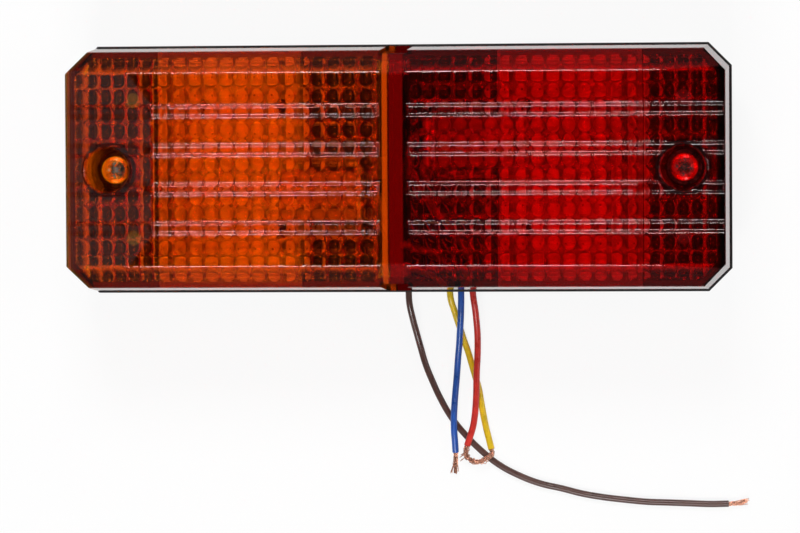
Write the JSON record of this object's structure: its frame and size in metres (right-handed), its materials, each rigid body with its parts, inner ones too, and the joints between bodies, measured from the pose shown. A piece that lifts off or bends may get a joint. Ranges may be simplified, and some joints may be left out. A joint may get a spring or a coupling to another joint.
{
  "type": "tail light cluster",
  "caption": "Rectangular two-colour rear lamp lying on its back, with amber and red lens halves, deep screw recesses, inner bulbs and bared wires from its lower wall.",
  "frame": {"origin": "centre of the back face, which the lamp rests on", "axes": "+Z out of the lens, +X along the lamp from the amber end to the red end, +Y away from the wall that the wires leave"},
  "size_m": [0.1926, 0.1337, 0.0467],
  "materials": {
    "black_housing": "satin black moulding",
    "black_rubber": "matte",
    "amber_plastic": "clear tinted, polished",
    "red_plastic": "clear tinted, polished",
    "plated_screw": "bright zinc plate",
    "bright_sheet": "bright pressed sheet",
    "brass_sheet": "rolled",
    "tinned_metal": "tinned",
    "rivet_metal": "plain",
    "plated_steel": "zinc plate",
    "spring_steel": "drawn wire",
    "wafer_board": "pressed board",
    "cap_brass": "bright",
    "insulator_glass": "black glass",
    "clear_glass": "clear",
    "filament_metal": "drawn wire",
    "brown_sleeve": "soft gloss",
    "yellow_sleeve": "soft gloss",
    "blue_sleeve": "soft gloss",
    "red_sleeve": "soft gloss",
    "bare_copper": "bright fine strands"
  },
  "bodies": {
    "root": {"housing": "black_housing", "gasket": "black_rubber", "amber_lens": "amber_plastic", "red_lens": "red_plastic", "lens_screws": "plated_screw", "amber_reflector": "bright_sheet", "red_reflector": "bright_sheet", "earth_strip": "brass_sheet", "earth_terminal": "tinned_metal", "rivets": "rivet_metal", "amber_bracket": "plated_steel", "red_bracket": "plated_steel", "amber_socket": "brass_sheet", "red_socket": "brass_sheet", "amber_spring": "spring_steel", "red_spring": "spring_steel", "amber_wafer": "wafer_board", "red_wafer": "wafer_board", "amber_socket_contact": "brass_sheet", "red_socket_contacts": "brass_sheet", "amber_bulb_cap": "cap_brass", "red_bulb_cap": "cap_brass", "amber_bulb_insulator": "insulator_glass", "red_bulb_insulator": "insulator_glass", "amber_bulb_contact": "tinned_metal", "red_bulb_contacts": "tinned_metal", "amber_bulb_stem": "clear_glass", "red_bulb_stem": "clear_glass", "amber_filament": "filament_metal", "red_filaments": "filament_metal", "amber_bulb_glass": "clear_glass", "red_bulb_glass": "clear_glass", "earth_grommet": "black_rubber", "feed_grommet": "black_rubber", "brown_lead": "brown_sleeve", "yellow_lead": "yellow_sleeve", "blue_lead": "blue_sleeve", "red_lead": "red_sleeve", "brown_wire": "brown_sleeve", "yellow_wire": "yellow_sleeve", "blue_wire": "blue_sleeve", "red_wire": "red_sleeve", "brown_strands": "bare_copper", "blue_strands": "bare_copper", "twisted_strands": "bare_copper"}
  },
  "joints": []
}
